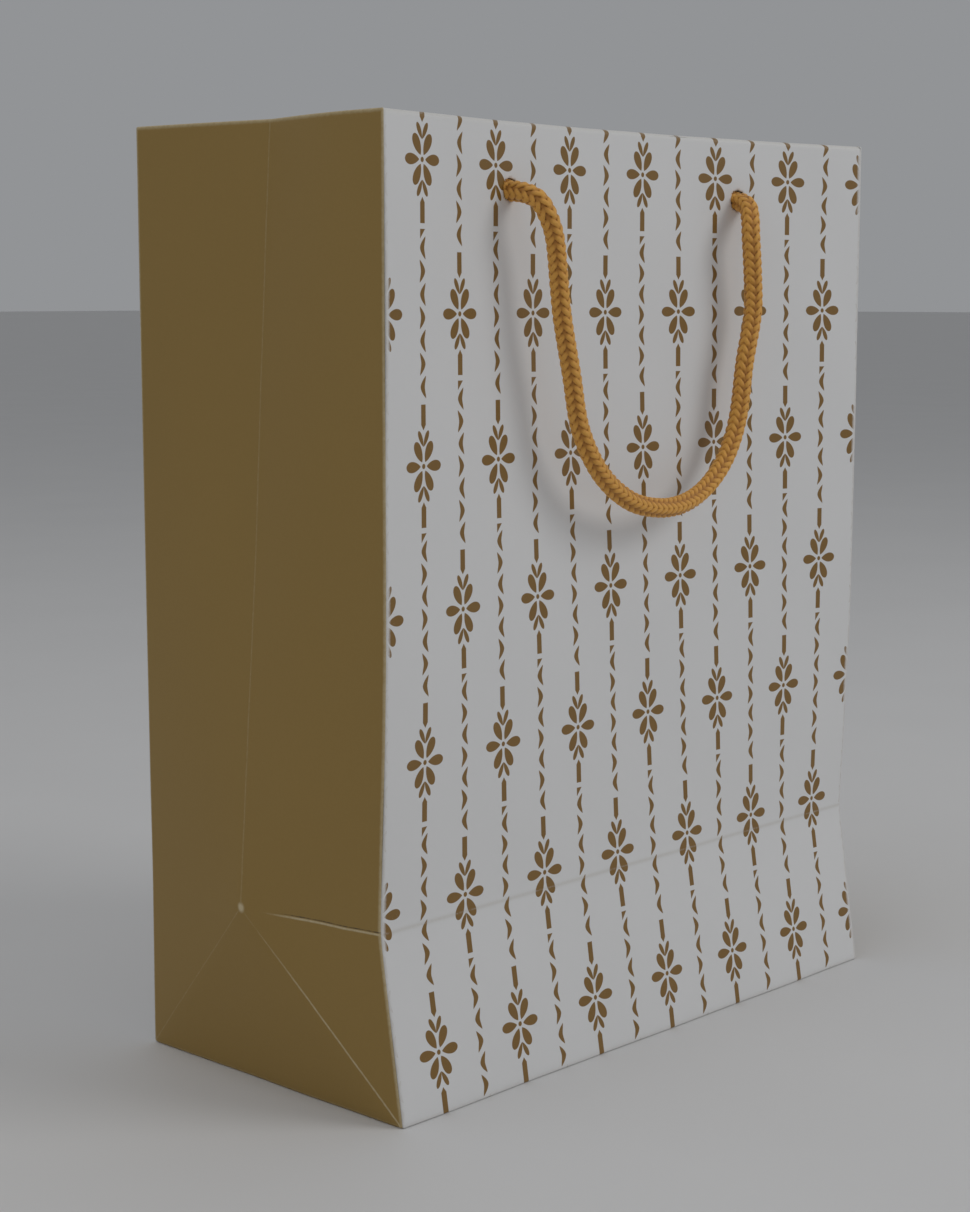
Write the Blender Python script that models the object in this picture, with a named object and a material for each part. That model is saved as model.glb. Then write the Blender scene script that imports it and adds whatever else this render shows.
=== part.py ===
"""A square-bottomed paper gift bag with a pair of braided cord handles.

Metres, +Z up. The origin is at the middle of the base, on the surface the bag stands on. The front faces -Y.
The bag is one folded sheet, so each wall is a plate that ends at its creases: the four upper walls stand on a
horizontal crease, below which the sides fold into a star and the front and rear run on down to the base.
"""

import bmesh
import bpy
import numpy as np
from mathutils import Vector

FRONT, REAR = -1, 1
LEFT, RIGHT = -1, 1

# Overall size of the standing bag.
WIDTH = 0.192
DEPTH = 0.090
HEIGHT = 0.240

# Sheet goods.
PAPER = 0.0004
CARD = 0.0010
BOARD = 0.0016
GAP = 0.0003

# Creases. The star point is where the gusset's middle fold meets the horizontal crease.
CREASE_HEIGHT = 0.0465
MOUTH_BOW = 0.0090
BOW_FULLNESS = 2.5
CREASE_PINCH = {FRONT: 0.0028, REAR: 0.0004}
PINCH_FADE = 0.060
BASE_KICK = {FRONT: 0.0045, REAR: 0.0}
GUSSET_IN_AT_MOUTH = 0.0060
GUSSET_OUT_AT_STAR = 0.0065

# Handles: two holes in each broad wall, and a cord that hangs from them.
HOLE_SPACING = 0.092
HOLE_DROP = 0.0165
CORD_DIAMETER = 0.0050
CORD_STANDOFF = 0.0110
HANDLE_DROP = 0.0800
KNOT_DIAMETER = 0.0110
KNOT_LENGTH = 0.0085

# Reinforcement inside the mouth, and the pieces that close the base.
HEM_DEPTH = 0.036
CARD_DEPTH = 0.032
CARD_SIDE_CLEARANCE = 0.010
SEAM_FLAP_WIDTH = 0.015
FLAP_OVERLAP = 0.010
FLAP_TAPER = 0.012
SIDE_FLAP_LENGTH = 0.040
SIDE_FLAP_TAPER = 0.030
BOARD_CLEARANCE = 0.0035

HALF_WIDTH = WIDTH / 2
HALF_DEPTH = DEPTH / 2
HOLE_X = HOLE_SPACING / 2
HOLE_Z = HEIGHT - HOLE_DROP
HOLE_RADIUS = CORD_DIAMETER / 2 + GAP
CORD_END_ROUNDING = (22, 50, 78)

MATERIALS = {
    "printed_paper": ((0.62, 0.58, 0.50), 0.50),
    "gold_paper": ((0.22, 0.155, 0.075), 0.50),
    "white_paper": ((0.78, 0.77, 0.74), 0.60),
    "grey_card": ((0.42, 0.40, 0.37), 0.80),
    "braided_cord": ((0.46, 0.24, 0.07), 0.65),
}


def clear_scene():
    for existing in list(bpy.data.objects):
        bpy.data.objects.remove(existing, do_unlink=True)


def make_material(name):
    colour, roughness = MATERIALS[name]
    material = bpy.data.materials.get(name) or bpy.data.materials.new(name)
    material.use_nodes = True
    shader = material.node_tree.nodes["Principled BSDF"]
    shader.inputs["Base Color"].default_value = (*colour, 1.0)
    shader.inputs["Roughness"].default_value = roughness
    shader.inputs["Metallic"].default_value = 0.0
    return material


def add_object(name, data, material):
    data.materials.append(make_material(material))
    obj = bpy.data.objects.new(name, data)
    bpy.context.scene.collection.objects.link(obj)
    return obj


def add_mesh(name, bm, material):
    bmesh.ops.recalc_face_normals(bm, faces=bm.faces)
    mesh = bpy.data.meshes.new(name)
    bm.to_mesh(mesh)
    bm.free()
    return add_object(name, mesh, material)


def broad_wall_depth(side, x, z):
    """Distance of a broad wall's outer face from the middle plane: less where the mouth bows in."""
    pinch, kick = CREASE_PINCH[side], BASE_KICK[side]
    rise = np.clip((z - CREASE_HEIGHT) / (HEIGHT - CREASE_HEIGHT), 0, 1)
    bow = MOUTH_BOW * (1 - (x / HALF_WIDTH) ** 2) * (1 - (1 - rise) ** BOW_FULLNESS)
    pinch_above = pinch * np.clip(1 - (z - CREASE_HEIGHT) / PINCH_FADE, 0, 1)
    below = z / CREASE_HEIGHT
    fold = np.where(z < CREASE_HEIGHT, pinch * below - kick * (1 - below), pinch_above)
    return HALF_DEPTH - bow - fold


def corner_depth(side, z):
    """Distance of the bag's upright corners, front or rear, from the middle plane."""
    return float(broad_wall_depth(side, HALF_WIDTH, z))


def gusset_y(share, z):
    """Where a share of the way from the front corner to the rear one lies along Y."""
    front, rear = corner_depth(FRONT, z), corner_depth(REAR, z)
    return share * (front + rear) - front


def gusset_middle(z):
    """Distance of the gusset's middle fold from the middle plane, above the star point."""
    rise = (z - CREASE_HEIGHT) / (HEIGHT - CREASE_HEIGHT)
    return HALF_WIDTH + GUSSET_OUT_AT_STAR * (1 - rise) - GUSSET_IN_AT_MOUTH * rise


def slab(name, outer, inward, thickness, material):
    """A closed plate: outer is a grid of points on its outer face, and inward the way its thickness goes."""
    rows, columns = outer.shape[:2]
    inner = outer + np.asarray(inward, float) * thickness
    bm = bmesh.new()
    skins = [[[bm.verts.new(point) for point in row] for row in skin] for skin in (outer, inner)]
    for skin in skins:
        for i in range(rows - 1):
            for j in range(columns - 1):
                bm.faces.new((skin[i][j], skin[i][j + 1], skin[i + 1][j + 1], skin[i + 1][j]))
    rim = [(0, j) for j in range(columns)]
    rim += [(i, columns - 1) for i in range(1, rows)]
    rim += [(rows - 1, j) for j in range(columns - 2, -1, -1)]
    rim += [(i, 0) for i in range(rows - 2, 0, -1)]
    for (i, j), (k, m) in zip(rim, rim[1:] + rim[:1]):
        bm.faces.new((skins[0][i][j], skins[0][k][m], skins[1][k][m], skins[1][i][j]))
    return add_mesh(name, bm, material)


def spans(start, end, count):
    return np.linspace(start, end, count + 1)


def broad_wall_grid(side, xs, zs, inset):
    """Points of a broad wall's face, inset towards the middle of the bag. side is FRONT or REAR."""
    x, z = np.meshgrid(xs, zs)
    return np.stack([x, side * (broad_wall_depth(side, x, z) - inset), z], axis=-1)


def punch_handle_holes(wall, side):
    """Two plain round holes through a broad wall, each cut by a cylinder along Y."""
    for hand, x in (("left", -HOLE_X), ("right", HOLE_X)):
        bm = bmesh.new()
        bmesh.ops.create_cone(bm, cap_ends=True, segments=20, radius1=HOLE_RADIUS, radius2=HOLE_RADIUS,
                              depth=HALF_DEPTH / 2)
        punch = add_mesh(f"{wall.name}_{hand}_punch", bm, "grey_card")
        punch.location = (x, side * (HALF_DEPTH - MOUTH_BOW / 2), HOLE_Z)
        punch.rotation_euler.x = np.pi / 2
        punch.hide_render = True
        punch.display_type = "WIRE"
        cut = wall.modifiers.new(f"{hand}_hole", "BOOLEAN")
        cut.object = punch
        cut.operation = "DIFFERENCE"


def wall_heights(top):
    """Heights of a broad wall's rows above the crease, up to where its turned-in hem begins."""
    fade_top = CREASE_HEIGHT + PINCH_FADE
    return np.concatenate([spans(CREASE_HEIGHT, fade_top, 4), spans(fade_top, top, 3)[1:]])


def make_broad_wall(name, side):
    zs = np.concatenate([[0.0], wall_heights(HEIGHT - HEM_DEPTH), [HEIGHT]])
    inner_half = HALF_WIDTH - PAPER - GAP
    grid = broad_wall_grid(side, spans(-inner_half, inner_half, 12), zs, 0.0)
    wall = slab(name, grid, (0, -side, 0), PAPER, "printed_paper")
    punch_handle_holes(wall, side)
    return wall


def make_reinforcement_card(name, side):
    inset = PAPER + GAP
    reach = HALF_WIDTH - CARD_SIDE_CLEARANCE
    zs = spans(HEIGHT - CARD_DEPTH, HEIGHT - PAPER, 1)
    grid = broad_wall_grid(side, spans(-reach, reach, 12), zs, inset)
    card = slab(name, grid, (0, -side, 0), CARD, "grey_card")
    punch_handle_holes(card, side)
    return card


def make_broad_hem(name, side):
    """The turned-in paper behind the card."""
    inset = PAPER + GAP + CARD + GAP
    reach = HALF_WIDTH - CARD_SIDE_CLEARANCE
    grid = broad_wall_grid(side, spans(-reach, reach, 12), spans(HEIGHT - HEM_DEPTH, HEIGHT, 1), inset)
    hem = slab(name, grid, (0, -side, 0), PAPER, "printed_paper")
    punch_handle_holes(hem, side)
    return hem


def gusset_grid(side, ends, zs, inset):
    """A gusset half: ends are its two edges, as shares of the way from the front corner to the rear one."""
    rows = []
    for z in zs:
        middle_out = gusset_middle(z) - HALF_WIDTH
        row = []
        for share in ends:
            out = middle_out * (1 - abs(2 * share - 1))
            row.append((side * (HALF_WIDTH + out - inset), gusset_y(share, z), z))
        rows.append(row)
    return np.array(rows)


def make_gusset_half(name, side, ends):
    lower = spans(CREASE_HEIGHT + GAP, HEIGHT - HEM_DEPTH, 6)
    zs = np.concatenate([lower, spans(HEIGHT - HEM_DEPTH, HEIGHT, 2)[1:]])
    return slab(name, gusset_grid(side, ends, zs, 0.0), (-side, 0, 0), PAPER, "gold_paper")


def make_gusset_hem(name, side):
    """The turned-in paper of a gusset, folded down its middle like the gusset outside it."""
    edge = (PAPER + GAP + CARD + GAP + PAPER + GAP) / DEPTH
    shares = np.concatenate([[edge], spans(0.125, 0.875, 6), [1 - edge]])
    grid = gusset_grid(side, shares, spans(HEIGHT - HEM_DEPTH, HEIGHT, 2), PAPER + GAP)
    return slab(name, grid, (-side, 0, 0), PAPER, "gold_paper")


def plate_on_outline(name, outline, inward, thickness, material):
    """A flat plate with straight edges through the points of outline, thickened along inward."""
    bm = bmesh.new()
    face = bm.faces.new([bm.verts.new(point) for point in outline])
    grown = bmesh.ops.extrude_face_region(bm, geom=[face])
    moved = [item for item in grown["geom"] if isinstance(item, bmesh.types.BMVert)]
    bmesh.ops.translate(bm, verts=moved, vec=Vector(inward) * thickness)
    return add_mesh(name, bm, material)


def shrink(outline, distance):
    """The outline's corners, each moved in along its two edges so that every edge moves in by distance."""
    points = [Vector(point) for point in outline]
    count = len(points)
    normal = (points[1] - points[0]).cross(points[2] - points[0]).normalized()
    moved = []
    for i, point in enumerate(points):
        before = (point - points[i - 1]).normalized()
        after = (points[(i + 1) % count] - point).normalized()
        inward = normal.cross(before) + normal.cross(after)
        moved.append(point + inward * (distance / (1 + before.dot(after))))
    return moved


def make_star_fold(side, hand):
    """Below the crease each side has a triangle that stands on the base edge, and two corner triangles."""
    star = (side * (HALF_WIDTH + GUSSET_OUT_AT_STAR), gusset_y(0.5, CREASE_HEIGHT), CREASE_HEIGHT)
    lows = [(side * HALF_WIDTH, end * corner_depth(end, 0.0), 0.0) for end in (FRONT, REAR)]
    highs = [(side * HALF_WIDTH, end * corner_depth(end, CREASE_HEIGHT), CREASE_HEIGHT) for end in (FRONT, REAR)]
    inward = (-side, 0, 0)
    base = shrink((lows[0], lows[1], star), GAP / 2)
    base[0].z = base[1].z = 0.0
    plate_on_outline(f"{hand}_base_triangle", base, inward, PAPER, "gold_paper")
    for end, low, high in zip(("front", "rear"), lows, highs):
        corner = shrink((low, star, high), GAP / 2)
        plate_on_outline(f"{hand}_{end}_corner_triangle", corner, inward, PAPER, "gold_paper")


def make_seam_flap():
    """The glued strip that closes the sheet into a tube, inside the rear wall at its left edge."""
    left = -HALF_WIDTH + PAPER + GAP
    xs = spans(left + GAP, left + SEAM_FLAP_WIDTH, 2)
    zs = wall_heights(HEIGHT - HEM_DEPTH - GAP)
    slab("side_seam_flap", broad_wall_grid(REAR, xs, zs, PAPER + GAP), (0, -1, 0), PAPER, "white_paper")


def flap_level(level):
    """Height of the underside of a layer of the base, and where that layer ends at the front and rear walls."""
    z = level * (PAPER + GAP)
    front, rear = (end * (corner_depth(end, z + PAPER) - PAPER - GAP) for end in (FRONT, REAR))
    return z, front, rear


def make_base_flap(name, level, corners):
    z, _, _ = flap_level(level)
    plate_on_outline(name, [(x, y, z) for x, y in corners], (0, 0, 1), PAPER, "white_paper")


def make_base():
    """Two flaps that overlap across the middle, two side flaps above them, and the loose board."""
    wide = HALF_WIDTH - PAPER - GAP
    narrow = wide - FLAP_TAPER
    lap = FLAP_OVERLAP
    _, front, _ = flap_level(0)
    make_base_flap("base_flap_outer", 0, ((-wide, front), (wide, front), (narrow, lap), (-narrow, lap)))
    _, _, rear = flap_level(1)
    make_base_flap("base_flap_inner", 1, ((-wide, rear), (-narrow, -lap), (narrow, -lap), (wide, rear)))
    _, front, rear = flap_level(2)
    tip = wide - SIDE_FLAP_LENGTH
    outline = ((wide, front), (wide, rear), (tip, rear - SIDE_FLAP_TAPER), (tip, front + SIDE_FLAP_TAPER))
    for side, name in ((LEFT, "base_flap_left"), (RIGHT, "base_flap_right")):
        make_base_flap(name, 2, [(side * x, y) for x, y in outline])
    reach = min(corner_depth(FRONT, CREASE_HEIGHT), corner_depth(REAR, CREASE_HEIGHT))
    make_board(wide - BOARD_CLEARANCE, reach - PAPER - GAP - BOARD_CLEARANCE)


def make_board(half_x, half_y):
    """The loose board, narrow enough to pass the pinch at the crease."""
    z, _, _ = flap_level(3)
    corners = [(x * half_x, y * half_y, z) for x, y in ((-1, -1), (1, -1), (1, 1), (-1, 1))]
    plate_on_outline("base_board", corners, (0, 0, 1), BOARD, "grey_card")


def smooth_curve(points, spacing):
    """Points about spacing apart along a centripetal Catmull-Rom curve through the given points."""
    knots = np.array(points, float)
    knots = np.vstack([2 * knots[0] - knots[1], knots, 2 * knots[-1] - knots[-2]])
    times = np.concatenate([[0], np.cumsum(np.linalg.norm(np.diff(knots, axis=0), axis=1) ** 0.5)])
    dense = []
    for i in range(1, len(knots) - 2):
        p0, p1, p2, p3 = knots[i - 1:i + 3]
        t0, t1, t2, t3 = times[i - 1:i + 3]
        t = np.linspace(t1, t2, 40, endpoint=i == len(knots) - 3)[:, None]
        a1 = (t1 - t) / (t1 - t0) * p0 + (t - t0) / (t1 - t0) * p1
        a2 = (t2 - t) / (t2 - t1) * p1 + (t - t1) / (t2 - t1) * p2
        a3 = (t3 - t) / (t3 - t2) * p2 + (t - t2) / (t3 - t2) * p3
        b1 = (t2 - t) / (t2 - t0) * a1 + (t - t0) / (t2 - t0) * a2
        b2 = (t3 - t) / (t3 - t1) * a2 + (t - t1) / (t3 - t1) * a3
        dense.append((t2 - t) / (t2 - t1) * b1 + (t - t1) / (t2 - t1) * b2)
    dense = np.vstack(dense)
    along = np.concatenate([[0], np.cumsum(np.linalg.norm(np.diff(dense, axis=0), axis=1))])
    stations = np.linspace(0, along[-1], int(round(along[-1] / spacing)) + 1)
    return np.stack([np.interp(stations, along, dense[:, axis]) for axis in range(3)], axis=-1)


def handle_route():
    """The hanging loop in its own plane, as (x, height above the holes), from the left hole to the right."""
    half = [(HOLE_X, 0.0), (HOLE_X - 0.0022, -0.0060), (HOLE_X - 0.0050, -0.0160), (HOLE_X - 0.0062, -0.0270),
            (HOLE_X - 0.0085, -0.0400), (HOLE_X - 0.0125, -0.0560), (HOLE_X - 0.0180, -0.0665),
            (HOLE_X - 0.0265, -0.0745), (HOLE_X - 0.0355, -0.0785)]
    left = [(-x, z) for x, z in half]
    return left + [(0.0, -HANDLE_DROP)] + half[::-1]


def hinge_line_y(side):
    """The handle swings about a line this far outside its wall, level with the holes."""
    return side * (float(broad_wall_depth(side, HOLE_X, HOLE_Z)) + CORD_STANDOFF)


def make_handle_cord(name, side):
    """One cord, with rounded ends centred on the swing axis so that it clears the ends held by the knots."""
    route = [(x, 0.0, z) for x, z in handle_route()]
    points = smooth_curve(route, 2.2 * CORD_DIAMETER)
    curve = bpy.data.curves.new(name, "CURVE")
    curve.dimensions = "3D"
    curve.bevel_depth = CORD_DIAMETER / 2
    curve.bevel_resolution = 3
    curve.use_fill_caps = True
    first, last = Vector(points[0] - points[1]).normalized(), Vector(points[-1] - points[-2]).normalized()
    radius = CORD_DIAMETER / 2
    rounding = [(np.cos(angle), np.sin(angle)) for angle in np.radians(CORD_END_ROUNDING)]
    start = [(Vector(points[0]) + first * radius * s, c) for c, s in rounding]
    end = [(Vector(points[-1]) + last * radius * s, c) for c, s in rounding]
    ring = start[::-1] + [(Vector(point), 1.0) for point in points] + end
    spline = curve.splines.new("POLY")
    spline.points.add(len(ring) - 1)
    for item, (point, scale) in zip(spline.points, ring):
        item.co = (*point, 1.0)
        item.radius = scale
    cord = add_object(name, curve, "braided_cord")
    axis = bpy.data.objects.new(f"{name}_swing_axis", None)
    bpy.context.scene.collection.objects.link(axis)
    axis.location = (0.0, hinge_line_y(side), HOLE_Z)
    cord.parent = axis
    return cord


def make_knot(name, side, x):
    """A stopper knot inside the bag, turned together with the stub of cord that fills the hole."""
    radius = CORD_DIAMETER / 2
    stack = PAPER + GAP + CARD + GAP + PAPER + GAP
    stub_end = CORD_STANDOFF - radius - GAP
    steps = np.radians(np.linspace(0, 90, 5))
    knot_radius = KNOT_DIAMETER / 2
    knot_middle = -stack - KNOT_LENGTH / 2
    back = [(knot_radius * np.sin(a), knot_middle - KNOT_LENGTH / 2 * np.cos(a)) for a in steps]
    front = [(knot_radius * np.cos(a), knot_middle + KNOT_LENGTH / 2 * np.sin(a)) for a in steps[1:-1]]
    profile = back + front + [(radius, -stack - PAPER), (radius, stub_end), (0.0, stub_end)]
    bm = bmesh.new()
    line = [bm.verts.new((r, 0.0, out)) for r, out in profile]
    edges = [bm.edges.new(pair) for pair in zip(line, line[1:])]
    bmesh.ops.spin(bm, geom=line + edges, cent=(0, 0, 0), axis=(0, 0, 1), angle=2 * np.pi, steps=16)
    bmesh.ops.remove_doubles(bm, verts=bm.verts, dist=1e-6)
    knot = add_mesh(name, bm, "braided_cord")
    knot.location = (x, side * float(broad_wall_depth(side, x, HOLE_Z)), HOLE_Z)
    knot.rotation_euler.x = -side * np.pi / 2
    return knot


def main():
    clear_scene()
    for side, name in ((FRONT, "front"), (REAR, "rear")):
        make_broad_wall(f"{name}_panel", side)
        make_reinforcement_card(f"reinforcement_card_{name}", side)
        make_broad_hem(f"top_hem_{name}", side)
        make_handle_cord(f"{name}_handle_cord", side)
        for hand, x in (("left", -HOLE_X), ("right", HOLE_X)):
            make_knot(f"{name}_{hand}_knot", side, x)
    for side, hand in ((LEFT, "left"), (RIGHT, "right")):
        half_gap = GAP / DEPTH / 2
        make_gusset_half(f"{hand}_gusset_front_half", side, spans(0.0, 0.5 - half_gap, 4))
        make_gusset_half(f"{hand}_gusset_rear_half", side, spans(0.5 + half_gap, 1.0, 4))
        make_gusset_hem(f"top_hem_{hand}", side)
        make_star_fold(side, hand)
    make_seam_flap()
    make_base()


main()
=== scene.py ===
"""The finished gift bag: folded printed paper, braided cord handles, and the plain pieces inside."""

import math

import bpy
import numpy as np
from mathutils import Euler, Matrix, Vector


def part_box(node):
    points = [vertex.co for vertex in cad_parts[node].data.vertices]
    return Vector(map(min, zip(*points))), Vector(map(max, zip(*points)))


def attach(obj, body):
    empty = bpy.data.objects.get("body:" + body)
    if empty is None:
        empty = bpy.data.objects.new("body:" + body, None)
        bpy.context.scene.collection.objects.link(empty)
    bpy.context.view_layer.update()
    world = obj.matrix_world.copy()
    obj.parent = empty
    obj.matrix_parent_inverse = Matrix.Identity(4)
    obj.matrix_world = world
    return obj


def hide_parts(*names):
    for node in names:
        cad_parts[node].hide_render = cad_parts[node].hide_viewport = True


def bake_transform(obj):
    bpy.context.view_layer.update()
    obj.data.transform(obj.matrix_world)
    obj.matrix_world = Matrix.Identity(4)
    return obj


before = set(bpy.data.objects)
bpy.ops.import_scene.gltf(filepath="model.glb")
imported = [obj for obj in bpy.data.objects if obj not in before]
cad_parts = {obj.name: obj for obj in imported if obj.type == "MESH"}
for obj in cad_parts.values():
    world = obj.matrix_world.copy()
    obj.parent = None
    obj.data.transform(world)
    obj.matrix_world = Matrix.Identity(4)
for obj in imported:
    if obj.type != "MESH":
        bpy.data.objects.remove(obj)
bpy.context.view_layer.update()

FRONT, REAR = -1, 1
LEFT, RIGHT = -1, 1

# Sheet goods, in metres, as the bag was made from.
PAPER = 0.0004
CARD = 0.0010
GAP = 0.0003

# Where the walls and folds are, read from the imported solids.
HALF_DEPTH = -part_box("left_gusset_front_half")[0].y
HALF_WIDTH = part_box("front_panel")[1].x + PAPER + GAP
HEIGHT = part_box("front_panel")[1].z
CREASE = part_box("left_gusset_front_half")[0].z - GAP
HEM_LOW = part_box("top_hem_front")[0].z
STAR_OUT = -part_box("left_base_triangle")[0].x - HALF_WIDTH + GAP
KNOT_LOW, KNOT_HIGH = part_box("front_right_knot")
HOLE_X = (KNOT_LOW.x + KNOT_HIGH.x) / 2
HOLE_Z = (KNOT_LOW.z + KNOT_HIGH.z) / 2

# How the paper has taken its shape in use.
MOUTH_BOW = 0.0090
BOW_FULLNESS = 2.5
CREASE_PINCH = {FRONT: 0.0028, REAR: 0.0004}
PINCH_FADE = 0.060
BASE_KICK = {FRONT: 0.0045, REAR: 0.0}
GUSSET_IN_AT_MOUTH = 0.0060
CORNER_RADIUS = 0.0007
FOLD_SOFTNESS = 0.0022
BROAD_STACK = 2 * PAPER + CARD + 2 * GAP
SIDE_STACK = 2 * PAPER + GAP

# The handle cord.
CORD_DIAMETER = 0.0050
HOLE_RADIUS = CORD_DIAMETER / 2 + GAP
CARRIERS = 8
BRAID_TURN = 0.0176

# The print, in millimetres: columns of flowers joined by bars and vines.
# Alternate columns are half a repeat lower.
COLUMN_PITCH = HALF_WIDTH * 2000 / 13
REPEAT = 71.33
FIRST_FLOWER = 229.07


# ---------------------------------------------------------------- camera, floor and light

def make_camera():
    camera = bpy.data.cameras.new("camera")
    camera.sensor_fit = "AUTO"
    camera.sensor_width = 36.0
    camera.lens = 67.07
    camera.clip_start = 0.01
    view = bpy.data.objects.new("camera", camera)
    view.location = (-0.4601, -0.4182, 0.1984)
    view.rotation_euler = Euler((math.radians(90 - 7.896), 0.0, math.radians(-46.81)))
    bpy.context.scene.collection.objects.link(view)
    bpy.context.scene.camera = view
    bpy.context.scene.view_settings.view_transform = "Standard"


def make_lamp(name, place, aim, size, power, colour=(1.0, 1.0, 1.0)):
    lamp = bpy.data.lights.new(name, "AREA")
    lamp.shape = "DISK"
    lamp.size = size
    lamp.energy = power
    lamp.color = colour
    obj = bpy.data.objects.new(name, lamp)
    obj.location = place
    obj.rotation_euler = (Vector(aim) - Vector(place)).to_track_quat("-Z", "Y").to_euler()
    bpy.context.scene.collection.objects.link(obj)


def make_studio():
    make_lamp("window", (0.75, -1.15, 0.95), (0, 0, 0.12), 0.9, 6.2)
    make_lamp("ceiling", (-0.25, 0.1, 1.5), (0, 0, 0.1), 1.4, 3.6)
    make_lamp("side_fill", (-1.3, -0.1, 0.6), (0, 0, 0.12), 1.0, 1.0)
    world = bpy.context.scene.world or bpy.data.worlds.new("studio")
    bpy.context.scene.world = world
    world.use_nodes = True
    backdrop = world.node_tree.nodes["Background"]
    backdrop.inputs["Color"].default_value = (0.80, 0.82, 0.85, 1.0)
    backdrop.inputs["Strength"].default_value = 0.36
    reach = 20.0
    corners = [(-reach, -reach, 0.0), (reach, -reach, 0.0), (reach, reach, 0.0), (-reach, reach, 0.0)]
    mesh = bpy.data.meshes.new("floor")
    mesh.from_pydata(corners, [], [(0, 1, 2, 3)])
    floor = bpy.data.objects.new("floor", mesh)
    bpy.context.scene.collection.objects.link(floor)
    mesh.materials.append(floor_finish())


# ---------------------------------------------------------------- materials

class Value:
    """A shader value that takes part in Python arithmetic. Each operation adds one Math node."""

    def __init__(self, finish, socket):
        self.finish = finish
        self.socket = socket

    def math(self, operation, *others):
        inputs = dict(enumerate((self, *others)))
        return self.finish.node("ShaderNodeMath", {"operation": operation}, inputs)

    def reflected(self, operation, other):
        return self.finish.node("ShaderNodeMath", {"operation": operation}, {0: other, 1: self})

    def __add__(self, other):
        return self.math("ADD", other)

    def __radd__(self, other):
        return self.reflected("ADD", other)

    def __sub__(self, other):
        return self.math("SUBTRACT", other)

    def __rsub__(self, other):
        return self.reflected("SUBTRACT", other)

    def __mul__(self, other):
        return self.math("MULTIPLY", other)

    def __rmul__(self, other):
        return self.reflected("MULTIPLY", other)

    def __truediv__(self, other):
        return self.math("DIVIDE", other)

    def __pow__(self, other):
        return self.math("POWER", other)

    def __abs__(self):
        return self.math("ABSOLUTE")

    def floor(self):
        return self.math("FLOOR")

    def least(self, other):
        return self.math("MINIMUM", other)

    def most(self, other):
        return self.math("MAXIMUM", other)

    def clamp(self):
        return self.least(1.0).most(0.0)


class Finish:
    """One Principled material, and the helper that adds any other node to it."""

    def __init__(self, name):
        self.material = bpy.data.materials.new(name)
        self.material.use_nodes = True
        self.tree = self.material.node_tree
        self.shader = self.tree.nodes["Principled BSDF"]

    def node(self, kind, settings=None, inputs=None, output=0, stops=None):
        """A node of this kind: its settings first, then a ramp's stops, then its inputs (values or links)."""
        made = self.tree.nodes.new(kind)
        for key, setting in (settings or {}).items():
            setattr(made, key, setting)
        if stops:
            ramp = made.color_ramp.elements
            while len(ramp) < len(stops):
                ramp.new(0.5)
            for element, (place, colour) in zip(ramp, stops):
                element.position = place
                element.color = (*colour, 1.0)
        for key, given in (inputs or {}).items():
            self.feed(made.inputs[key], given)
        return Value(self, made.outputs[output])

    def feed(self, socket, given):
        if isinstance(given, Value):
            self.tree.links.new(given.socket, socket)
        else:
            socket.default_value = given

    def set(self, **inputs):
        """Principled inputs by name, with spaces written as underscores."""
        for key, given in inputs.items():
            self.feed(self.shader.inputs[key.replace("_", " ")], given)

    def place(self):
        return self.node("ShaderNodeTexCoord", output="Object")

    def attribute(self, name, output="Fac"):
        return self.node("ShaderNodeAttribute", {"attribute_name": name}, output=output)

    def parts(self, vector):
        return [self.node("ShaderNodeSeparateXYZ", inputs={0: vector}, output=i) for i in range(3)]

    def noise(self, scale, detail=3.0, roughness=0.5, vector=None, stretch=None):
        place = vector or self.place()
        if stretch:
            place = self.node("ShaderNodeMapping", inputs={"Vector": place, "Scale": stretch})
        inputs = {"Vector": place, "Scale": scale, "Detail": detail, "Roughness": roughness}
        return self.node("ShaderNodeTexNoise", inputs=inputs)

    def mix(self, share, first, second):
        settings = {"data_type": "RGBA", "clamp_factor": True}
        inputs = {0: share, 6: self.colour(first), 7: self.colour(second)}
        return self.node("ShaderNodeMix", settings, inputs, output=2)

    def colour(self, given):
        return given if isinstance(given, Value) else (*given, 1.0)

    def bump(self, height, distance, strength=1.0):
        inputs = {"Height": height, "Distance": distance, "Strength": strength}
        self.set(Normal=self.node("ShaderNodeBump", inputs=inputs))


def floor_finish():
    finish = Finish("floor")
    cloud = finish.noise(9.0, 4.0)
    finish.set(Base_Color=finish.mix(cloud, (0.66, 0.655, 0.65), (0.70, 0.695, 0.69)), Roughness=0.65)
    return finish.material


def sharp(distance, softness=0.09):
    """1 where a distance in millimetres is positive and 0 where it is negative, with a soft edge."""
    return (distance * (1 / softness) + 0.5).clamp()


def petal(x, y, turn, start, length, half_width):
    """A teardrop that starts in a point and ends round: its half-width is t^0.8 * sqrt(1 - t), scaled, where
    t is how far along its own line a point lies."""
    c, s = math.cos(math.radians(turn)), math.sin(math.radians(turn))
    along = x * c + y * s - start[0] * c - start[1] * s
    aside = y * c - x * s - start[1] * c + start[0] * s
    t = (along * (1 / length)).clamp()
    full = 2.38 * half_width
    return sharp(t ** 0.8 * (1 - t) ** 0.5 * full - abs(aside) - 0.05)


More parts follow.
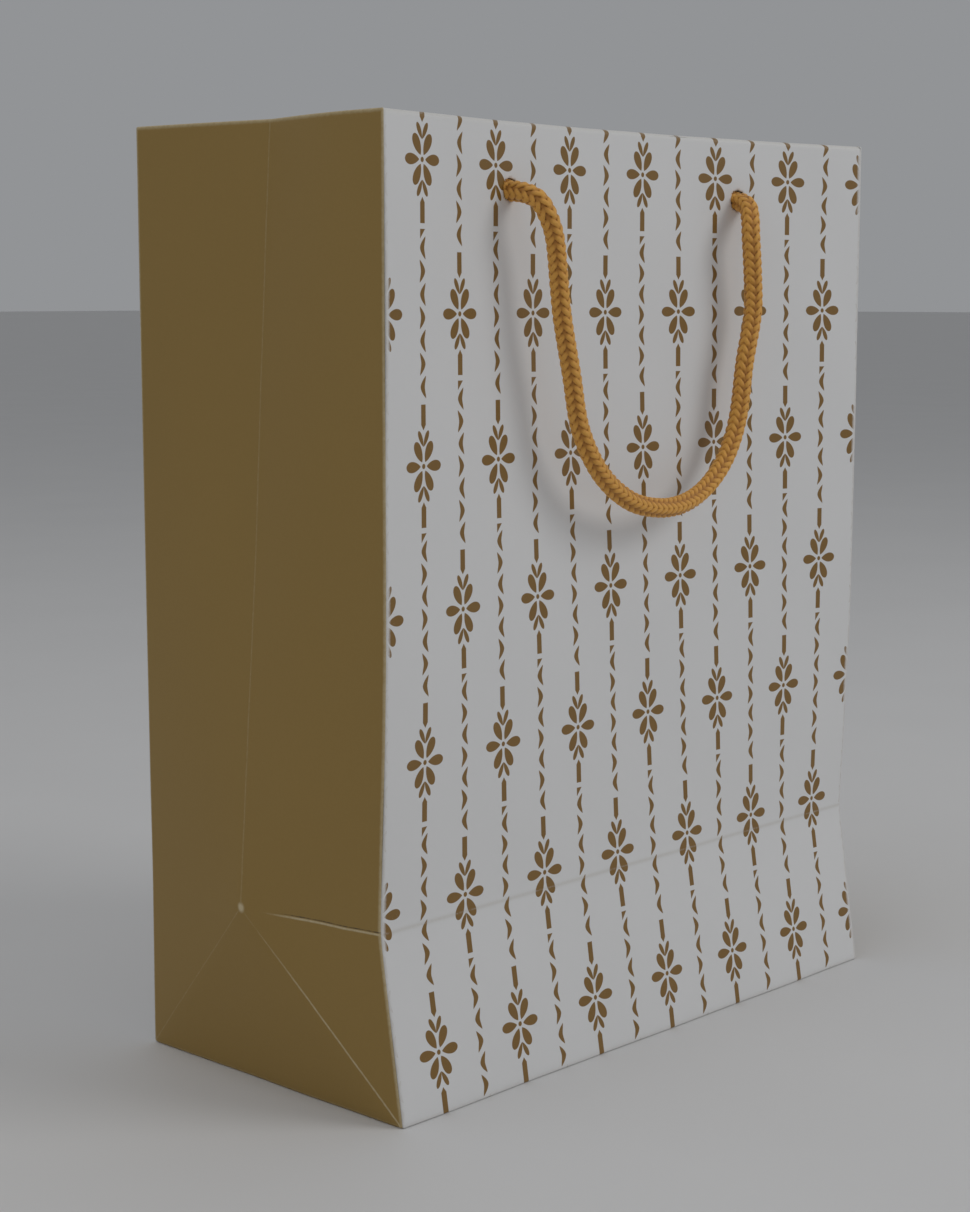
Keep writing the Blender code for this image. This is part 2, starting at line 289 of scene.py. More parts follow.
def vine_print(finish):
    """1 where the flowers, leaves, bars and vines are printed.
    The sheet attribute holds millimetres across and up the wall."""
    across, up, _ = finish.parts(finish.attribute("sheet", "Vector"))
    place = across * (1 / COLUMN_PITCH) + 0.5
    column = place.floor()
    x = (place - column - 0.5) * COLUMN_PITCH
    even = 1 - column.math("FLOORED_MODULO", 2.0)
    below = (FIRST_FLOWER - up - even * (REPEAT / 2)).math("FLOORED_MODULO", REPEAT)
    away = below.least(REPEAT - below)
    side = abs(x)
    flower = sharp(0.62 - (side * side + away * away) ** 0.5)
    flower = flower.most(petal(side, away, 0, (1.15, 0.0), 5.5, 1.37))
    flower = flower.most(petal(side, away, 61, (0.56, 1.0), 5.5, 1.40))
    leaves = petal(side, away, 63, (0.02, 4.6), 4.3, 0.76)
    point = ((away - 8.5) * (1 / 1.3)).clamp()
    bar = sharp(point * 0.9 - side) * sharp(away - 8.5) * sharp(14.6 - away)
    clipped = sharp(x + 0.95) * sharp(1.0 - (below - 15.9) * 0.86 - x) * sharp(below - 15.9)
    clipped = clipped * sharp(18.2 - below)
    step = (below - 17.55) * (1 / 5.4)
    turn = step.floor()
    handed = x * (1 - 2 * turn.math("FLOORED_MODULO", 2.0))
    tent = 1 - abs((step - turn) * 2 - 1) ** 1.7
    curl = sharp(handed - 1.15 + tent * 2.15) * sharp(1.15 - tent * tent * 0.48 - handed)
    curl = curl * sharp(below - 17.55) * sharp(REPEAT - 15.98 - below)
    return flower.most(leaves).most(bar).most(clipped).most(curl)


def bell(distance, width):
    """1 where a distance is 0, falling off to 1 / e at this width, both in millimetres."""
    return (distance * distance * (-1 / width ** 2)).math("EXPONENT")


def edge_wear(finish, up, corner):
    """Rubbing along the upright corners, over the mouth and round the foot."""
    mouth, foot = bell(up - HEIGHT * 1000, 1.0), bell(up, 0.9)
    return (bell(corner, 0.8) * 0.9).most(mouth * 0.85).most(foot * 0.75)


def gusset_wear_and_fold_highlight(finish, across, up, corner):
    """Rubbed lines along a side wall's folds, a painted highlight along its middle fold, and the crack beside
    its horizontal crease. The worn folds are the crease, strongest towards the front corner, and the two
    diagonals below it, which sag like a shallow parabola. The painted highlight runs down the middle fold
    above the crease."""
    star, half = CREASE * 1000, HALF_DEPTH * 1000
    wander = finish.noise(55.0, 3.0) * 1.6 - 0.8
    fore = ((0 - across - 5) * (1 / 14)).clamp()
    crease = bell(up - star + wander * 0.5, 0.34) * (fore * 0.95 + 0.12)
    below = sharp(star - up, 1.0)
    run = math.hypot(half, star)
    sag = up * (star - up) * (-3.2 / star ** 2)
    slope = abs(across) * (star / run) - (star - up) * (half / run)
    diagonal = bell(slope + sag + wander * 0.3, 0.36) * below
    diagonal = diagonal * (0.40 + fore * 0.50)
    # Painted highlight along the middle fold, about a millimetre wide, carried with the worn lines.
    middle = bell(across + wander * 0.3, 0.50) * (1 - below) * 0.42
    height = up - star + wander
    spot = bell((across * across + height * height) ** 0.5, 1.2)
    crack = bell(up - star + wander * 0.5 - 0.55, 0.28) * fore
    return crease.most(diagonal).most(middle).most(spot * 1.5).most(edge_wear(finish, up, corner)), crack


def paper_grain(finish, scale=1.0):
    """Fine fibre tooth, between 0 and 1."""
    return finish.noise(2600.0 * scale, 3.0, 0.6)


def printed_finish():
    """Coated white paper with the bronze vine print, which is lost where creases and edges are worn."""
    finish = Finish("printed_paper")
    grain = paper_grain(finish)
    cloud = finish.noise(22.0, 4.0)
    across, up, _ = finish.parts(finish.attribute("sheet", "Vector"))
    corner = across.least(HALF_WIDTH * 2000 - across)
    crease = bell(up - CREASE * 1000, 0.55)
    wear = edge_wear(finish, up, corner).most(crease * 0.75)
    broken = finish.noise(900.0, 4.0, 0.7)
    rub = (wear * 1.5 * broken - 0.42).clamp()
    speck = sharp(finish.noise(3400.0, 2.0, 0.55) - 0.29, 0.05)
    rub = rub.most((1.5 - corner + broken * 0.8).clamp() * 0.92)
    ink = vine_print(finish) * (1 - rub).clamp() * (0.86 + speck * 0.14)
    paper = finish.mix(cloud, (0.715, 0.712, 0.708), (0.745, 0.743, 0.74))
    paper = finish.mix(wear * (0.25 + grain * 0.5), paper, (0.52, 0.49, 0.43))
    bronze = finish.mix(finish.noise(160.0, 3.0), (0.200, 0.104, 0.014), (0.245, 0.130, 0.024))
    finish.set(
        Base_Color=finish.mix(ink, paper, bronze),
        Roughness=0.50 + grain * 0.10 - ink * 0.14 + rub * 0.2,
    )
    height = grain * 0.10 + ink * 0.25 - rub * 0.5 + finish.noise(300.0, 2.0) * 0.3
    finish.bump(height, 0.00005)
    return finish.material


def gold_finish():
    """Coated paper printed all over in antique gold. Creases show a worn light line beside a dark crack, the
    middle fold a painted highlight.
    """
    finish = Finish("gold_paper")
    grain = paper_grain(finish)
    fleck = finish.noise(1300.0, 3.0, 0.65)
    cloud = finish.noise(14.0, 4.0)
    across, up, _ = finish.parts(finish.attribute("sheet", "Vector"))
    corner = HALF_DEPTH * 1000 - abs(across)
    # wear also carries the painted highlight along the middle fold.
    wear, crack = gusset_wear_and_fold_highlight(finish, across, up, corner)
    broken = finish.noise(700.0, 4.0, 0.75)
    gold = finish.mix(cloud, (0.318, 0.200, 0.048), (0.362, 0.230, 0.058))
    gold = finish.mix(fleck * 0.55, gold, (0.290, 0.180, 0.044))
    # The mask below holds the worn lines and the painted highlight along the middle fold; both take the light
    # colour.
    rub_and_fold_highlight = (wear * 1.35 * (0.35 + broken) - 0.30).clamp()
    gold = finish.mix(rub_and_fold_highlight * 0.85, gold, (0.66, 0.56, 0.36))
    split = (crack * 2.4 * broken - 0.60).clamp()
    gold = finish.mix(split, gold, (0.060, 0.042, 0.022))
    finish.set(
        Base_Color=gold,
        Roughness=0.46 + grain * 0.12 + rub_and_fold_highlight * 0.22,
        Metallic=0.10,
    )
    finish.bump(grain * 0.14 + fleck * 0.12 - split * 0.9 + rub_and_fold_highlight * 0.3, 0.00006)
    return finish.material


def plain_paper_finish(name, low, high, fibre):
    """Uncoated paper or card: cloudy colour, short fibres lying one way, and a soft tooth."""
    finish = Finish(name)
    cloud = finish.noise(18.0, 4.0)
    grain = paper_grain(finish, 0.7)
    strands = finish.noise(420.0, 4.0, 0.7, stretch=(1.0, 1.0, 5.0))
    base = finish.mix(cloud, low, high)
    base = finish.mix((strands - 0.56).clamp() * fibre, base, tuple(0.62 * part for part in low))
    finish.set(Base_Color=base, Roughness=0.78 + grain * 0.12)
    finish.bump(grain * 0.4 + strands * 0.4, 0.00008)
    return finish.material


def cord_finish():
    """Dyed polyester yarn: fine filaments along each strand, a painted highlight on its crown and painted
    shade where it dips.
    """
    finish = Finish("braided_cord")
    around, along, _ = finish.parts(finish.attribute("strand", "Vector"))
    crown = finish.attribute("crown")
    vector = finish.attribute("strand", "Vector")
    filament = finish.noise(1.0, 3.0, 0.6, vector=vector, stretch=(26.0, 2.2, 1.0))
    batch = finish.noise(60.0, 2.0)
    ripple = (around * (2 * math.pi * 14) + along * 3.0 + filament * 5.0).math("SINE") * 0.5 + 0.5
    body = finish.mix(batch, (0.670, 0.262, 0.026), (0.770, 0.320, 0.038))
    # Painted highlight: the light colour where a strand rises over its neighbours and faces out.
    body = finish.mix((crown ** 1.6) * (0.45 + filament * 0.6), body, (0.860, 0.460, 0.085))
    # Painted shade: the dark colour where a strand dips under its neighbours, and on the core, whose crown is
    # 0.
    body = finish.mix((1 - crown) ** 1.1 * 1.1, body, (0.140, 0.040, 0.004))
    body = finish.mix(ripple * 0.22, body, (0.480, 0.190, 0.026))
    finish.set(Base_Color=body, Roughness=0.50 + filament * 0.2, Sheen_Weight=0.08)
    finish.bump(ripple * 0.55 + filament * 0.6, 0.00006)
    return finish.material


# ---------------------------------------------------------------- mesh helpers

def add_piece(name, points, faces, finishes, attributes, worn=0):
    """A smooth mesh piece at the origin. attributes are arrays with one row per point: one number, or three.
    worn holds the number of the finish that each face takes."""
    mesh = bpy.data.meshes.new(name)
    mesh.from_pydata(points.tolist(), [], faces.tolist())
    for key, rows in attributes.items():
        wide = rows.ndim == 2
        made = mesh.attributes.new(key, "FLOAT_VECTOR" if wide else "FLOAT", "POINT")
        made.data.foreach_set("vector" if wide else "value", rows.astype(np.float32).ravel())
    for finish in finishes:
        mesh.materials.append(finish)
    mesh.polygons.foreach_set("use_smooth", np.ones(len(faces), bool))
    mesh.polygons.foreach_set("material_index", np.broadcast_to(worn, len(faces)).astype(np.int32))
    mesh.update()
    obj = bpy.data.objects.new(name, mesh)
    bpy.context.scene.collection.objects.link(obj)
    return obj


def grid_faces(rows, columns, closed=False):
    """Quads of a grid of points, numbered along its rows. closed joins the last column to the first."""
    i, j = np.meshgrid(np.arange(rows - 1), np.arange(columns if closed else columns - 1), indexing="ij")
    k = (j + 1) % columns
    low, high = i * columns, (i + 1) * columns
    quads = np.stack([low + j, low + k, high + k, high + j], axis=-1)
    return quads.reshape(-1, 4)


def soft_ramp(distance, radius=FOLD_SOFTNESS):
    """0 below zero and the distance above it, with a rounded bend between: (d + sqrt(d^2 + r^2)) / 2."""
    return (distance + np.sqrt(distance ** 2 + radius ** 2)) / 2


def soft_least(a, b, radius=0.04):
    """The smaller of two arrays, rounded where they meet."""
    return (a + b - np.sqrt((a - b) ** 2 + radius ** 2)) / 2


def graded(low, high, coarse, fine=None, centres=(), reach=0.0):
    """Stations from low to high, coarse apart, and fine apart within reach of each centre."""
    stations = np.linspace(low, high, int(round((high - low) / coarse)) + 1)
    for centre in centres:
        stations = stations[abs(stations - centre) > reach + coarse * 0.4]
        extra = np.arange(-round(reach / fine), round(reach / fine) + 1) * fine
        stations = np.concatenate([stations, centre + extra])
    return np.unique(np.clip(np.round(stations, 6), low, high))


def skin_normals(grid):
    """Unit normals of a grid of points: the cross product of its two directions, on the side it faces."""
    down, along = np.gradient(grid, axis=0), np.gradient(grid, axis=1)
    normal = np.cross(along, down)
    return normal / np.linalg.norm(normal, axis=-1, keepdims=True)


def paper_solid(name, grid, finishes, attributes, drop=None):
    """A sheet with thickness: the finished skin, and a plain skin PAPER behind it along the normals.
    A plain rim joins every open edge, including the edges of the faces left out where drop is true."""
    rows, columns = grid.shape[:2]
    back = grid - skin_normals(grid) * PAPER
    faces = grid_faces(rows, columns)
    if drop is not None:
        faces = faces[~drop.ravel()[faces].any(axis=1)]
    count = rows * columns
    edges = np.concatenate([faces[:, [k, (k + 1) % 4]] for k in range(4)])
    ends = np.sort(edges, axis=1)
    _, first, times = np.unique(ends[:, 0] * count + ends[:, 1], return_index=True, return_counts=True)
    rim = edges[first[times == 1]]
    rim_faces = np.stack([rim[:, 1], rim[:, 0], rim[:, 0] + count, rim[:, 1] + count], axis=-1)
    points = np.concatenate([grid.reshape(-1, 3), back.reshape(-1, 3)])
    worn = np.repeat([0, 1, 1], [len(faces), len(faces), len(rim_faces)])
    faces = np.concatenate([faces, faces[:, ::-1] + count, rim_faces])
    used, index = np.unique(faces, return_inverse=True)
    kept = {key: np.concatenate([values, values])[used] for key, values in attributes.items()}
    return add_piece(name, points[used], index.reshape(faces.shape), finishes, kept, worn)


# ---------------------------------------------------------------- the folded paper

def wall_depth(side, x, z):
    """How far a broad wall stands from the middle plane: half the depth, less the bow of the mouth and the
    pinch at the crease. The bow is a parabola across, and grows from the crease up as
    1 - (1 - rise)^BOW_FULLNESS. Each ramp is rounded."""
    above, below = soft_ramp(z - CREASE), soft_ramp(CREASE - z)
    flat = np.clip(1 - above / (HEIGHT - CREASE), 0, 1)
    bow = MOUTH_BOW * (1 - (x / HALF_WIDTH) ** 2) * (1 - flat ** BOW_FULLNESS)
    fade = soft_ramp(z - CREASE - PINCH_FADE, 0.02) - above
    pinch, kick = CREASE_PINCH[side], BASE_KICK[side]
    fold = pinch + fade * pinch / PINCH_FADE - below * (pinch + kick) / CREASE
    return HALF_DEPTH - bow - fold


def paper_wave(a, b):
    """Faint dents of handled paper: three crossing waves, under half a millimetre in all."""
    wave = np.sin(a * 47 + 1.3 * np.sin(b * 31)) * np.sin(b * 38 + 0.7)
    wave += 0.6 * np.sin(a * 93 - b * 51 + 2.0) + 0.35 * np.sin(a * 140 + b * 118)
    return 0.00016 * wave


def corner_round(distance):
    """How far a rounded corner falls back, where distance is what is left to the sharp corner."""
    inside = np.clip(CORNER_RADIUS - distance, 0, CORNER_RADIUS * math.sin(math.pi / 4))
    return CORNER_RADIUS - np.sqrt(CORNER_RADIUS ** 2 - inside ** 2)


def sheet_profile(stack, rows):
    """Up the outside, over the mouth and down the inside, as (height, inset, length up the sheet).
    The base starts with a quarter turn, and the mouth is a half turn across the stack of paper and card."""
    base = CORNER_RADIUS
    turn = np.linspace(0, math.pi / 2, 5)[:-1]
    low = np.stack([base * (1 - np.cos(turn)), base * (1 - np.sin(turn)), base * turn], axis=-1)
    climb = rows[(rows > base + 1e-5) & (rows < HEIGHT - stack / 2 - 1e-5)]
    climb = np.concatenate([[base], climb, [HEIGHT - stack / 2]])
    flat = np.stack([climb, np.zeros_like(climb), climb], axis=-1)
    over = np.linspace(0, math.pi, 9)[1:]
    top = np.stack([HEIGHT - stack / 2 + stack / 2 * np.sin(over), stack / 2 * (1 - np.cos(over)),
                    HEIGHT - stack / 2 + stack / 2 * over], axis=-1)
    hem = rows[(rows >= HEM_LOW) & (rows < HEIGHT - stack / 2 - 1e-5)][::-1]
    length = top[-1, 2] + (HEIGHT - stack / 2 - hem)
    down = np.stack([hem, np.full_like(hem, stack), length], axis=-1)
    return np.concatenate([low, flat, top, down])


def snap_to_holes(x, z):
    """Moves grid points near each handle hole onto its circle, and says which points are inside it."""
    inside = np.zeros(x.shape, bool)
    for centre in (-HOLE_X, HOLE_X):
        away = np.hypot(x - centre, z - HOLE_Z)
        near = (away > 1e-6) & (abs(away - HOLE_RADIUS) < 0.00028)
        scale = np.where(near, HOLE_RADIUS / np.maximum(away, 1e-6), 1.0)
        x = centre + (x - centre) * scale
        z = HOLE_Z + (z - HOLE_Z) * scale
        inside |= (away < HOLE_RADIUS) & ~near
    return x, z, inside


def make_broad_wall(name, side, finish, replaced):
    """The front or rear wall and its hem, in one sheet: y is the wall's depth less the profile's inset."""
    reach = HALF_WIDTH - CORNER_RADIUS * (1 - math.sin(math.pi / 4))
    edge = np.array([0.0002, 0.0004, 0.0007])
    xs = graded(-reach, reach, 0.0018, 0.0005, (-HOLE_X, HOLE_X), 0.0045)
    xs = np.unique(np.concatenate([xs, reach - edge, edge - reach]))
    rows = graded(CORNER_RADIUS, HEIGHT, 0.0019, 0.0005, (HOLE_Z,), 0.0045)
    crease_rows = CREASE + np.array([-0.0012, -0.0006, 0, 0.0006, 0.0012])
    rows = np.unique(np.concatenate([rows, crease_rows, [HEM_LOW]]))
    profile = sheet_profile(BROAD_STACK, rows)
    x, height = np.meshgrid(xs, profile[:, 0])
    inset = np.repeat(profile[:, 1:2], len(xs), axis=1)
    up = np.repeat(profile[:, 2:3], len(xs), axis=1)
    x, height, inside = snap_to_holes(x, height)
    lip = np.exp(-((height - HEIGHT) / 0.012) ** 2) * 0.00025 * np.sin(x * 160 + 0.8)
    y = wall_depth(side, x, height) - inset + paper_wave(x, height) + lip - corner_round(HALF_WIDTH - abs(x))
    squeeze = 1 - inset / HALF_WIDTH
    grid = np.stack([x * squeeze, side * y, height], axis=-1)
    if side == REAR:
        grid = grid[:, ::-1]
        inside, up, x = inside[:, ::-1], up[:, ::-1], x[:, ::-1]
    sheet = np.stack([(x * -side + HALF_WIDTH) * 1000, up * 1000, np.zeros_like(x)], axis=-1)
    finishes = [finish["printed"], finish["white"]]
    piece = paper_solid(name, grid, finishes, {"sheet": sheet.reshape(-1, 3)}, inside)
    return seat(piece, "bag", replaced)


def gusset_out(share, z):
    """How far the side wall stands out from the flat. tent is 1 at the middle fold and 0 at both corners.
    Above the crease the middle fold runs from the star point in to the mouth. Below it, the star fold is the
    lesser of the tent and the height, so its two diagonals run from the star point to the bottom corners."""
    tent = 1 - np.sqrt((2 * share - 1) ** 2 + 0.0008)
    rise = soft_ramp(z - CREASE) / (HEIGHT - CREASE)
    middle = STAR_OUT * (1 - rise) - GUSSET_IN_AT_MOUTH * rise
    low = STAR_OUT * soft_least(tent, z / CREASE)
    blend = np.clip((z - CREASE) / 0.0016 + 0.5, 0, 1)
    belly = 0.0007 + 0.0010 * (share < 0.5)
    crown = belly * np.sin(np.clip(tent, 0, 1) * math.pi) * np.clip((z - CREASE) / 0.03, 0, 1)
    return blend * (middle * tent + crown) + (1 - blend) * low


def make_gusset(name, side, finish, replaced):
    """A side wall and its hem in one sheet, folded down its middle and in a star below the crease."""
    by_corner, by_fold = [0.0, 0.004, 0.008], [0.478, 0.486, 0.492, 0.497, 0.5]
    half = np.concatenate([by_corner, graded(0.012, 0.47, 0.018), by_fold])
    shares = np.unique(np.round(np.concatenate([half, 1 - half]), 6))
    rows = graded(CORNER_RADIUS, HEIGHT, 0.0020, 0.0006, (CREASE,), 0.004)
    rows = np.unique(np.concatenate([rows, [HEM_LOW]]))
    profile = sheet_profile(SIDE_STACK, rows)
    share, z = np.meshgrid(shares, profile[:, 0])
    inset = np.repeat(profile[:, 1:2], len(shares), axis=1)
    up = np.repeat(profile[:, 2:3], len(shares), axis=1)
    front, rear = wall_depth(FRONT, HALF_WIDTH, z), wall_depth(REAR, HALF_WIDTH, z)
    set_back = CORNER_RADIUS * (1 - math.sin(math.pi / 4))
    flat = share * (front + rear - 2 * set_back) - front + set_back
    y = flat * (1 - inset / HALF_DEPTH)
    wave = paper_wave(y * 1.4 + side, z * 0.8) * (1 - abs(2 * share - 1))
    x = HALF_WIDTH + gusset_out(share, z) - inset + wave
    x -= corner_round(np.minimum(front + y, rear - y))
    grid = np.stack([side * x, y, z], axis=-1)
    sheet = np.stack([(share - 0.5) * 2000 * HALF_DEPTH, up * 1000, np.zeros_like(y)], axis=-1)
    if side == LEFT:
        grid, sheet = grid[:, ::-1], sheet[:, ::-1]
    piece = paper_solid(name, grid, [finish["gold"], finish["white"]], {"sheet": sheet.reshape(-1, 3)})
    return seat(piece, "bag", replaced)


def seat(piece, body, replaced=()):
    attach(piece, body)
    if replaced:
        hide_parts(*replaced)
    return piece


# ---------------------------------------------------------------- cords and knots

def smooth_curve(points, spacing):
    """Stations about spacing apart along a centripetal Catmull-Rom curve through the given points."""
    knots = np.array(points, float)
    knots = np.vstack([2 * knots[0] - knots[1], knots, 2 * knots[-1] - knots[-2]])
    times = np.concatenate([[0], np.cumsum(np.linalg.norm(np.diff(knots, axis=0), axis=1) ** 0.5)])
    dense = []
    for i in range(1, len(knots) - 2):
        p0, p1, p2, p3 = knots[i - 1:i + 3]
        t0, t1, t2, t3 = times[i - 1:i + 3]
        t = np.linspace(t1, t2, 40, endpoint=i == len(knots) - 3)[:, None]
        a1 = (t1 - t) / (t1 - t0) * p0 + (t - t0) / (t1 - t0) * p1
        a2 = (t2 - t) / (t2 - t1) * p1 + (t - t1) / (t2 - t1) * p2
        a3 = (t3 - t) / (t3 - t2) * p2 + (t - t2) / (t3 - t2) * p3
        b1 = (t2 - t) / (t2 - t0) * a1 + (t - t0) / (t2 - t0) * a2
        b2 = (t3 - t) / (t3 - t1) * a2 + (t - t1) / (t3 - t1) * a3
        dense.append((t2 - t) / (t2 - t1) * b1 + (t - t1) / (t2 - t1) * b2)
    dense = np.vstack(dense)
    along = np.concatenate([[0], np.cumsum(np.linalg.norm(np.diff(dense, axis=0), axis=1))])
    stations = np.linspace(0, along[-1], int(round(along[-1] / spacing)) + 1)
    return np.stack([np.interp(stations, along, dense[:, axis]) for axis in range(3)], axis=-1)


def carried_frames(path):
    """Tangents, and two sides that turn as little as they can from station to station (double reflection)."""
    tangent = np.gradient(path, axis=0)
    tangent /= np.linalg.norm(tangent, axis=1, keepdims=True)
    spare = np.array([0.0, 0.0, 1.0]) if abs(tangent[0, 2]) < 0.9 else np.array([1.0, 0.0, 0.0])
    side = [np.cross(tangent[0], spare)]
    side[0] /= np.linalg.norm(side[0])
    for i in range(len(path) - 1):
        step = path[i + 1] - path[i]
        carried = side[i] - 2 / (step @ step) * (step @ side[i]) * step
        turned = tangent[i] - 2 / (step @ step) * (step @ tangent[i]) * step
        change = tangent[i + 1] - turned
        if change @ change > 1e-18:
            carried = carried - 2 / (change @ change) * (change @ carried) * change
        side.append(carried / np.linalg.norm(carried))
    side = np.array(side)
    return tangent, side, np.cross(tangent, side)


def end_caps(rings, sides):
    """Closes the first and last ring of a tube with a ladder of quads, corner j to corner sides - 1 - j."""
    j = np.arange(sides // 2 - 1)
    ladder = np.stack([j, j + 1, sides - 2 - j, sides - 1 - j], axis=-1)
    return np.concatenate([ladder[:, ::-1], ladder + (rings - 1) * sides])


def braided_tube(path, diameter):
    """A 16-strand braid along a path: 8 strands wind each way, and pass over two and under two.
    A strand's angle is 2 pi (k / 8 +- s / turn), and its distance from the middle line rises and dips by a
    flattened cosine with a period of 4 crossings. Each strand is an oval tube, closed at both ends.
    Returns points, faces and the strand and crown attributes. crown runs from 0, painted shade, to 1, painted
    highlight."""
    along = np.concatenate([[0], np.cumsum(np.linalg.norm(np.diff(path, axis=0), axis=1))])
    _, side, up = carried_frames(path)
    stations, around = len(path), 8
    wide, thick = 0.00070 * diameter / 0.005, 0.00042 * diameter / 0.005
    middle = diameter / 2 - thick - 0.00012
    heave = 0.00024
    crossing = 16 * along / BRAID_TURN
    oval = np.linspace(0, 2 * math.pi, around, endpoint=False)
    points, painted_light_shares, strands = [], [], []
    for hand in (1, -1):
        for k in range(CARRIERS):
            swing = np.cos(2 * math.pi * (crossing + hand * 2 * k - 0.5) / 4)
            swing = hand * np.tanh(1.8 * swing) / np.tanh(1.8)
            angle = 2 * math.pi * (k / CARRIERS + hand * along / BRAID_TURN)
            out = side * np.cos(angle)[:, None] + up * np.sin(angle)[:, None]
            line = path + out * (middle + heave * swing)[:, None]
            run = np.gradient(line, axis=0)
            run /= np.linalg.norm(run, axis=1, keepdims=True)
            flat = np.cross(out, run)
            flat /= np.linalg.norm(flat, axis=1, keepdims=True)
            ring = flat[:, None] * (wide * np.cos(oval))[None, :, None]
            ring = ring + out[:, None] * (thick * np.sin(oval))[None, :, None]
            points.append((line[:, None] + ring).reshape(-1, 3))
            # Painted light share: higher where the strand rises over its neighbours and where it faces
            # outwards.
            crown = np.clip(0.5 + 0.30 * swing[:, None] + 0.30 * np.sin(oval)[None], 0, 1)
            painted_light_shares.append(crown.ravel())
            turn = np.broadcast_to(oval / (2 * math.pi), (stations, around)).ravel()
            run_length = np.repeat(along * 1000, around)
            strands.append(np.stack([turn, run_length, np.full_like(turn, k + 20 * hand)], axis=-1))
    tube = np.concatenate([grid_faces(stations, around, closed=True), end_caps(stations, around)])
    faces = [tube + i * stations * around for i in range(2 * CARRIERS)]
    return np.concatenate(points), np.concatenate(faces), np.concatenate(strands), np.concatenate(painted_light_shares)


def core_tube(path, radius, sides=12):
    """A plain round tube inside the braid, narrowed to a cone at both ends and closed there."""
    _, side, up = carried_frames(path)
    angle = np.linspace(0, 2 * math.pi, sides, endpoint=False)
    ring = side[:, None] * np.cos(angle)[None, :, None] + up[:, None] * np.sin(angle)[None, :, None]
    shrink = np.ones(len(path))
    shrink[[0, -1]] = 0.02
    points = path[:, None] + ring * (radius * shrink)[:, None, None]
    faces = np.concatenate([grid_faces(len(path), sides, closed=True), end_caps(len(path), sides)])
    return points.reshape(-1, 3), faces


def make_braid(name, path, diameter, finish):
    points, faces, strands, painted_light_shares = braided_tube(path, diameter)
    core, core_faces = core_tube(path, diameter / 2 - 0.00085)
    points = np.concatenate([points, core])
    faces = np.concatenate([faces, core_faces + len(painted_light_shares)])
    strands = np.concatenate([strands, np.zeros((len(core), 3))])
    # The core takes crown 0, so it is coloured with the painted shade that shows between the strands.
    painted_light_shares = np.concatenate([painted_light_shares, np.zeros(len(core))])
    return add_piece(name, points, faces, [finish["cord"]], {"strand": strands, "crown": painted_light_shares})


def handle_route(side):
    """One handle, from just inside its left hole to just inside its right hole, as x, distance out from the
    wall at the hole, and drop below the holes. It hangs a little askew: its left leg stands further out."""
    left = [
        (-HOLE_X, -0.0024, 0.0004), (-HOLE_X, 0.0010, 0.0004), (-0.0460, 0.0054, 0.0011),
        (-0.0454, 0.0088, 0.0028), (-0.0444, 0.0107, 0.0062), (-0.0422, 0.0110, 0.0111),
        (-0.0403, 0.0110, 0.0228), (-0.0392, 0.0110, 0.0304), (-0.0356, 0.0110, 0.0448),
        (-0.0318, 0.0110, 0.0593), (-0.0237, 0.0110, 0.0707), (-0.0120, 0.0110, 0.0782),
    ]
    right = [
        (0.0000, 0.0108, 0.0808), (0.0098, 0.0101, 0.0806), (0.0192, 0.0090, 0.0783),
        (0.0268, 0.0085, 0.0739), (0.0328, 0.0082, 0.0676), (0.0372, 0.0080, 0.0586),
        (0.0398, 0.0080, 0.0440), (0.0432, 0.0080, 0.0300), (0.0428, 0.0080, 0.0193),
        (0.0420, 0.0078, 0.0096), (0.0432, 0.0066, 0.0050), (0.0450, 0.0043, 0.0018),
        (HOLE_X, 0.0010, 0.0004), (HOLE_X, -0.0024, 0.0004),
    ]
    route = left + right
    wall = float(wall_depth(side, HOLE_X, HOLE_Z))
    return [(x, side * (wall + out), HOLE_Z - drop) for x, out, drop in route]


def make_handle(name, side, finish):
    path = smooth_curve(handle_route(side), 0.00062)
    cord = make_braid(f"{name}_handle_braid", path, CORD_DIAMETER, finish)
    wall = side * float(wall_depth(side, HOLE_X, HOLE_Z))
    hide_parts(f"{name}_handle_cord")
    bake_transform(cord)


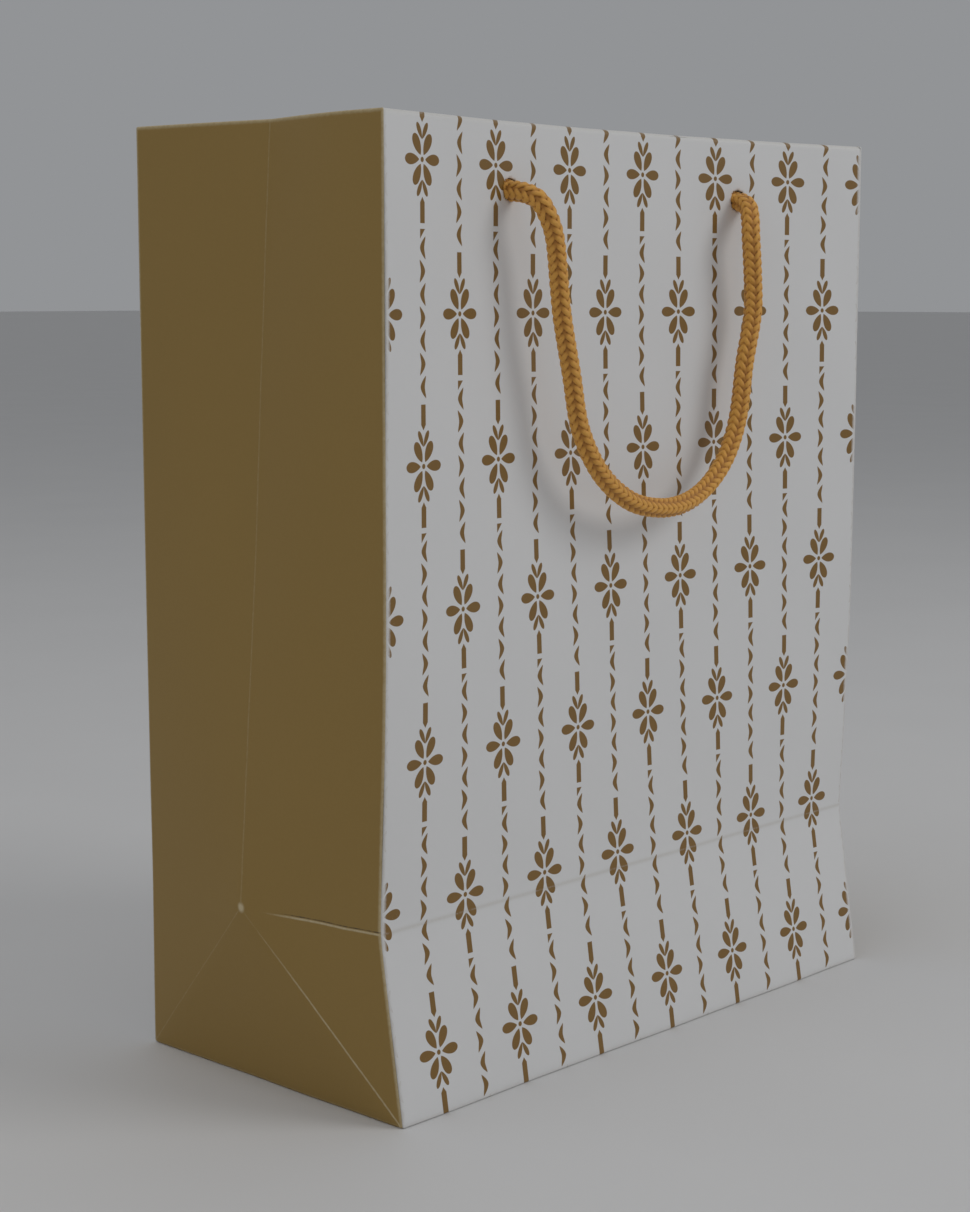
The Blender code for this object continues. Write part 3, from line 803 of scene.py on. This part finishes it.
def make_knot(name, side, x, finish):
    """A stopper knot behind the hem: one and a half close turns, then a short cut tail that hangs."""
    inner = float(wall_depth(side, x, HOLE_Z)) - BROAD_STACK
    turns = np.linspace(0, 3 * math.pi, 26)
    coil = 0.0030
    lean = np.interp(turns, [0, turns[-1]], [0.0022, 0.0058])
    loop = np.stack([x + coil * np.sin(turns), inner - lean, HOLE_Z + coil * np.cos(turns) - 0.0002], axis=-1)
    lead = np.array([(x - 0.0004, inner + 0.0020, HOLE_Z), (x - 0.0008, inner - 0.0002, HOLE_Z + 0.0016)])
    tail = np.array([
        (x - 0.0022, inner - 0.0080, HOLE_Z - 0.0058),
        (x - 0.0030, inner - 0.0084, HOLE_Z - 0.0120),
    ])
    route = np.concatenate([lead, loop, tail]) * (1, side, 1)
    piece = make_braid(f"{name}_stopper", smooth_curve(route, 0.0006), 0.0042, finish)
    return seat(piece, "bag", [name])


# ---------------------------------------------------------------- putting it together

def finish_carried_pieces(finish):
    """The flat pieces kept from the frame take the plain paper and card finishes."""
    flaps = [f"base_flap_{place}" for place in ("outer", "inner", "left", "right")]
    cards = ["reinforcement_card_front", "reinforcement_card_rear"]
    kept = {"white": flaps + ["side_seam_flap"], "card": cards, "board": ["base_board"]}
    for key, names in kept.items():
        for name in names:
            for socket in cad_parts[name].material_slots:
                socket.material = finish[key]


def main():
    make_camera()
    finish = {
        "printed": printed_finish(),
        "gold": gold_finish(),
        "white": plain_paper_finish("white_paper", (0.66, 0.655, 0.64), (0.72, 0.715, 0.70), 1.0),
        "card": plain_paper_finish("grey_card", (0.34, 0.325, 0.30), (0.40, 0.385, 0.36), 2.2),
        "board": plain_paper_finish("grey_board", (0.36, 0.345, 0.32), (0.43, 0.415, 0.385), 2.6),
        "cord": cord_finish(),
    }
    for side, name in ((FRONT, "front"), (REAR, "rear")):
        make_handle(name, side, finish)
        make_broad_wall(f"{name}_wall", side, finish, [f"{name}_panel", f"top_hem_{name}"])
        for hand, x in (("left", -HOLE_X), ("right", HOLE_X)):
            make_knot(f"{name}_{hand}_knot", side, x, finish)
    for side, hand in ((LEFT, "left"), (RIGHT, "right")):
        folds = [f"{hand}_gusset_front_half", f"{hand}_gusset_rear_half", f"top_hem_{hand}",
                 f"{hand}_base_triangle", f"{hand}_front_corner_triangle", f"{hand}_rear_corner_triangle"]
        make_gusset(f"{hand}_side", side, finish, folds)
    finish_carried_pieces(finish)
    make_studio()


main()
